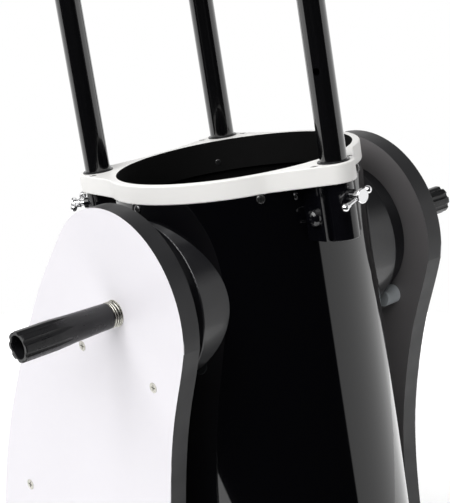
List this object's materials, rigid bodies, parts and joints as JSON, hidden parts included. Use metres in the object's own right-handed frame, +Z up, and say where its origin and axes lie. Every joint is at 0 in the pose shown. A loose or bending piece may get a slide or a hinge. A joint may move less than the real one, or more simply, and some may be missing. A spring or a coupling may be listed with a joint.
{
  "type": "dobsonian telescope",
  "caption": "Collapsible Dobsonian reflector: two tube sections joined by sliding rods, on drums in a rocker box that turns on a round ground board.",
  "frame": {"origin": "on the floor, on the azimuth axis, under the pivot bolt", "axes": "+Z up along the azimuth axis, +X along the altitude axis to the right bearing, +Y to the front, the way the tube leans and the front panel faces"},
  "size_m": [0.545, 0.5292, 1.322],
  "materials": {
    "dark_laminate_board": "satin dark grey edge-banded particle board",
    "white_laminate": "satin white melamine facing",
    "black_rubber": "matte",
    "white_nylon": "satin",
    "zinc_steel": "zinc plated",
    "black_plastic": "satin moulded",
    "gloss_black_plastic": "glossy moulded",
    "matte_black_plastic": "matte moulded",
    "black_steel": "matte powder coat",
    "gloss_black_tube": "high gloss paint, matte inside",
    "satin_black_rods": "satin black anodised",
    "white_casting": "white painted casting",
    "black_casting": "satin black paint",
    "black_screws": "black oxide",
    "chrome_steel": "polished",
    "chrome_tube": "polished",
    "knurled_aluminium": "knurled",
    "mirror_glass": "aluminised front face",
    "lens_glass": "coated"
  },
  "bodies": {
    "ground_base": {"ground_board": "dark_laminate_board", "rubber_feet": "black_rubber", "glide_pads": "white_nylon", "azimuth_pivot_bolt": "zinc_steel"},
    "rocker_box": {"azimuth_board": "dark_laminate_board", "pivot_bush": "white_nylon", "side_panel_right": "dark_laminate_board", "side_panel_left": "dark_laminate_board", "panel_facings": "white_laminate", "front_panel": "dark_laminate_board", "support_cylinders": "white_nylon", "rocker_screws": "zinc_steel", "tension_springs": "zinc_steel", "carry_handle": "black_plastic", "eyepiece_rack": "black_steel"},
    "optical_tube": {"lower_tube": "gloss_black_tube", "lower_rod_ring": "white_casting", "rod_bushes": "black_plastic", "rod_sleeves": "gloss_black_plastic", "sleeve_knobs": "gloss_black_plastic", "lower_tube_screws": "black_screws", "altitude_drums": "matte_black_plastic", "primary_mirror": "mirror_glass", "mirror_cell": "black_casting", "mirror_clips": "black_plastic", "cell_end_ring": "white_casting", "cell_lock_screws": "chrome_steel", "collimation_springs": "zinc_steel"},
    "upper_section": {"upper_rod_ring": "white_casting", "upper_tube_screws": "black_screws", "truss_rods": "satin_black_rods", "top_ring": "white_casting", "spider": "black_steel", "secondary_holder": "black_plastic", "secondary_mirror": "mirror_glass", "spider_screws": "chrome_steel", "upper_tube": "gloss_black_tube", "focuser_base": "black_casting", "focuser_housing": "black_casting", "finder_shoe": "black_plastic", "finder_bracket": "black_casting", "finder_body": "black_casting", "finder_lenses": "lens_glass", "finder_o_ring": "black_rubber", "finder_screws": "chrome_steel"},
    "drawtube": {"focuser_drawtube": "chrome_tube", "eyepiece_adapter": "black_casting"},
    "focus_wheel": {"focus_knobs": "knurled_aluminium"},
    "focus_lock": {"focuser_lock_screw": "chrome_steel"},
    "eyepiece_clamp_1": {"eyepiece_screw_1": "chrome_steel"},
    "eyepiece_clamp_2": {"eyepiece_screw_2": "chrome_steel"},
    "handle_right": {"tension_handle_right": "black_plastic"},
    "handle_left": {"tension_handle_left": "black_plastic"},
    "lock_bolt_rear": {"rod_lock_bolt_rear": "chrome_steel"},
    "lock_bolt_right": {"rod_lock_bolt_right": "chrome_steel"},
    "lock_bolt_left": {"rod_lock_bolt_left": "chrome_steel"},
    "collimator_1": {"collimation_knob_1": "black_plastic"},
    "collimator_2": {"collimation_knob_2": "black_plastic"},
    "collimator_3": {"collimation_knob_3": "black_plastic"}
  },
  "joints": [
    {"name": "azimuth", "type": "hinge", "parent": "ground_base", "child": "rocker_box", "pos_m": [0, 0, 0.0525], "axis": [0, 0, 1], "continuous": true},
    {"name": "altitude", "type": "hinge", "parent": "rocker_box", "child": "optical_tube", "pos_m": [0, -0.036, 0.59], "axis": [1, 0, 0], "range_deg": [-76.22, 13.78]},
    {"name": "upper_slide", "type": "slide", "parent": "optical_tube", "child": "upper_section", "axis": [0, 0.2382, 0.9712], "range_m": [-0.365, 0]},
    {"name": "tension_right", "type": "hinge", "parent": "optical_tube", "child": "handle_right", "pos_m": [0.22, -0.036, 0.59], "axis": [1, 0, 0], "range_deg": [-360, 90]},
    {"name": "tension_left", "type": "hinge", "parent": "optical_tube", "child": "handle_left", "pos_m": [-0.22, -0.036, 0.59], "axis": [-1, 0, 0], "range_deg": [-360, 90]},
    {"name": "rod_lock_rear", "type": "hinge", "parent": "optical_tube", "child": "lock_bolt_rear", "pos_m": [0, -0.17741, 0.70613], "axis": [0, -0.9712, 0.2382], "range_deg": [-360, 90]},
    {"name": "rod_lock_right", "type": "hinge", "parent": "optical_tube", "child": "lock_bolt_right", "pos_m": [0.09464, 0.11411, 0.63463], "axis": [0.5736, 0.7956, -0.1951], "range_deg": [-360, 90]},
    {"name": "rod_lock_left", "type": "hinge", "parent": "optical_tube", "child": "lock_bolt_left", "pos_m": [-0.09464, 0.11411, 0.63463], "axis": [-0.5736, 0.7956, -0.1951], "range_deg": [-360, 90]},
    {"name": "collimation_1", "type": "hinge", "parent": "optical_tube", "child": "collimator_1", "pos_m": [0, -0.07863, 0.08873], "axis": [0, -0.2382, -0.9712], "range_deg": [-360, 360]},
    {"name": "collimation_2", "type": "hinge", "parent": "optical_tube", "child": "collimator_2", "pos_m": [-0.06755, -0.19226, 0.11659], "axis": [0, -0.2382, -0.9712], "range_deg": [-360, 360]},
    {"name": "collimation_3", "type": "hinge", "parent": "optical_tube", "child": "collimator_3", "pos_m": [0.06755, -0.19226, 0.11659], "axis": [0, -0.2382, -0.9712], "range_deg": [-360, 360]},
    {"name": "focus_travel", "type": "slide", "parent": "upper_section", "child": "drawtube", "axis": [-0.866, -0.4856, 0.1191], "range_m": [-0.007, 0.03]},
    {"name": "focus_turn", "type": "hinge", "parent": "upper_section", "child": "focus_wheel", "pos_m": [-0.13337, 0.01347, 1.11498], "axis": [0.5, -0.8411, 0.2063], "range_deg": [-134.19, 573.46]},
    {"name": "focus_lock_turn", "type": "hinge", "parent": "upper_section", "child": "focus_lock", "pos_m": [-0.13337, 0.00927, 1.09783], "axis": [0, -0.2382, -0.9712], "range_deg": [-360, 90]},
    {"name": "eyepiece_clamp_turn_1", "type": "hinge", "parent": "drawtube", "child": "eyepiece_clamp_1", "pos_m": [-0.17667, 0.00285, 1.17663], "axis": [0, 0.2382, 0.9712], "range_deg": [-360, 90]},
    {"name": "eyepiece_clamp_turn_2", "type": "hinge", "parent": "drawtube", "child": "eyepiece_clamp_2", "pos_m": [-0.18841, 0.01462, 1.1392], "axis": [-0.4698, 0.7089, -0.526], "range_deg": [-360, 90]}
  ],
  "couplings": [
    {"joint": "focus_turn", "follows": "focus_travel", "rad_per_m": 333.33}
  ]
}
